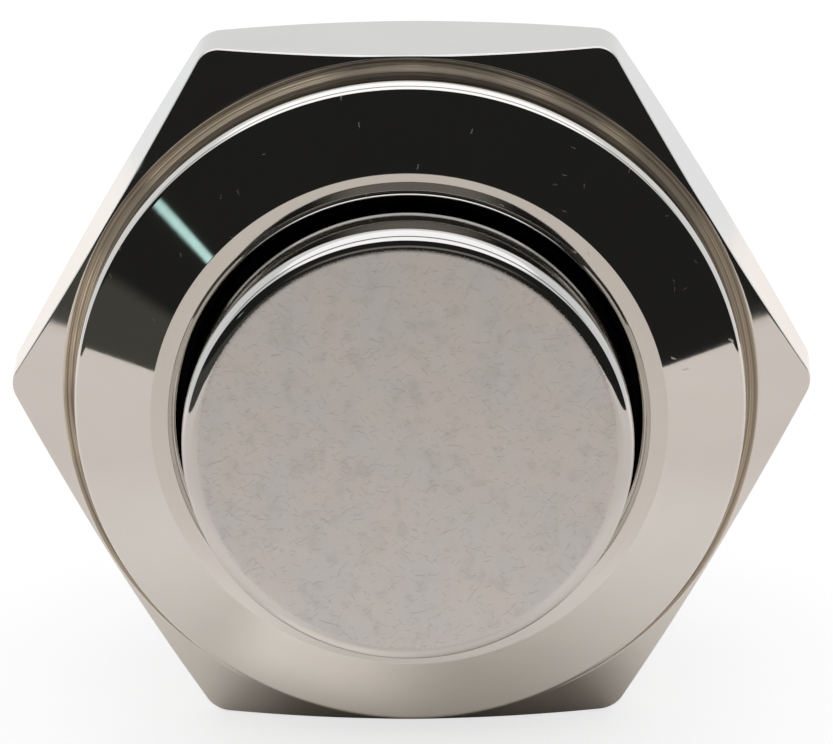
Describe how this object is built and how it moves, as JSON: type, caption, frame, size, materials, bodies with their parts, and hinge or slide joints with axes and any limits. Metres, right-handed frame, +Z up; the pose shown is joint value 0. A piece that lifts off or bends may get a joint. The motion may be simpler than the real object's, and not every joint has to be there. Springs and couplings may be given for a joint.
{
  "type": "push button switch",
  "caption": "Momentary metal push button with a raised round cap, a conical bezel, a threaded barrel, a hexagon panel nut and solder terminals",
  "frame": {"origin": "middle of the bezel's seat on the button's axis, where it meets the panel's front face", "axes": "+Y points from the operator through the panel to the terminals, +Z up, +X to the operator's right"},
  "size_m": [0.0214, 0.0229, 0.0188],
  "materials": {
    "plated_housing": "polished nickel plate on turned brass",
    "gasket_rubber": "flat black silicone",
    "bush_brass": "turned",
    "base_moulding": "glass filled moulding",
    "base_seal_rubber": "black nitrile",
    "snap_ring_steel": "phosphated spring steel",
    "resin": "cured resin",
    "terminal_left_metal": "silver plated strip",
    "terminal_right_metal": "silver plated strip",
    "fixed_contact_left_silver": "silver",
    "fixed_contact_right_silver": "silver",
    "return_spring_wire": "stainless spring wire",
    "cap_metal": "polished wall and edge, satin face",
    "cap_seal_rubber": "black nitrile",
    "stem_steel": "ground stainless steel",
    "clip_steel": "spring steel",
    "carrier_nylon": "natural nylon",
    "retainer_steel": "spring steel washer",
    "contact_spring_wire": "stainless spring wire",
    "bridge_copper": "copper alloy strip",
    "bridge_contact_left_silver": "silver",
    "bridge_contact_right_silver": "silver",
    "nut_plated": "nickel plate on turned brass bar"
  },
  "bodies": {
    "housing": {"housing": "plated_housing", "panel_gasket": "gasket_rubber", "guide_bush": "bush_brass", "contact_base": "base_moulding", "base_seal": "base_seal_rubber", "retaining_ring": "snap_ring_steel", "sealing_resin": "resin", "terminal_left": "terminal_left_metal", "terminal_right": "terminal_right_metal", "fixed_contact_left": "fixed_contact_left_silver", "fixed_contact_right": "fixed_contact_right_silver", "return_spring": "return_spring_wire"},
    "button": {"button_cap": "cap_metal", "cap_seal": "cap_seal_rubber", "plunger_stem": "stem_steel", "stem_clip": "clip_steel", "contact_carrier": "carrier_nylon", "bridge_retainer": "retainer_steel", "contact_spring": "contact_spring_wire"},
    "bridge": {"contact_bridge": "bridge_copper", "bridge_contact_left": "bridge_contact_left_silver", "bridge_contact_right": "bridge_contact_right_silver"},
    "nut": {"hex_nut": "nut_plated"}
  },
  "joints": [
    {"name": "press", "type": "slide", "parent": "housing", "child": "button", "axis": [0, 1, 0], "range_m": [0, 0.0018], "stiffness_N_per_m": 900, "springref_m": -0.0016, "deforming": ["return_spring", "contact_spring"]},
    {"name": "bridge_follow", "type": "slide", "parent": "housing", "child": "bridge", "axis": [0, 1, 0], "range_m": [0, 0.001]},
    {"name": "nut_travel", "type": "slide", "parent": "housing", "child": "nut", "axis": [0, 1, 0], "range_m": [0, 0.005]}
  ],
  "couplings": [
    {"joint": "bridge_follow", "follows": "press", "ratio": 0.55556}
  ]
}
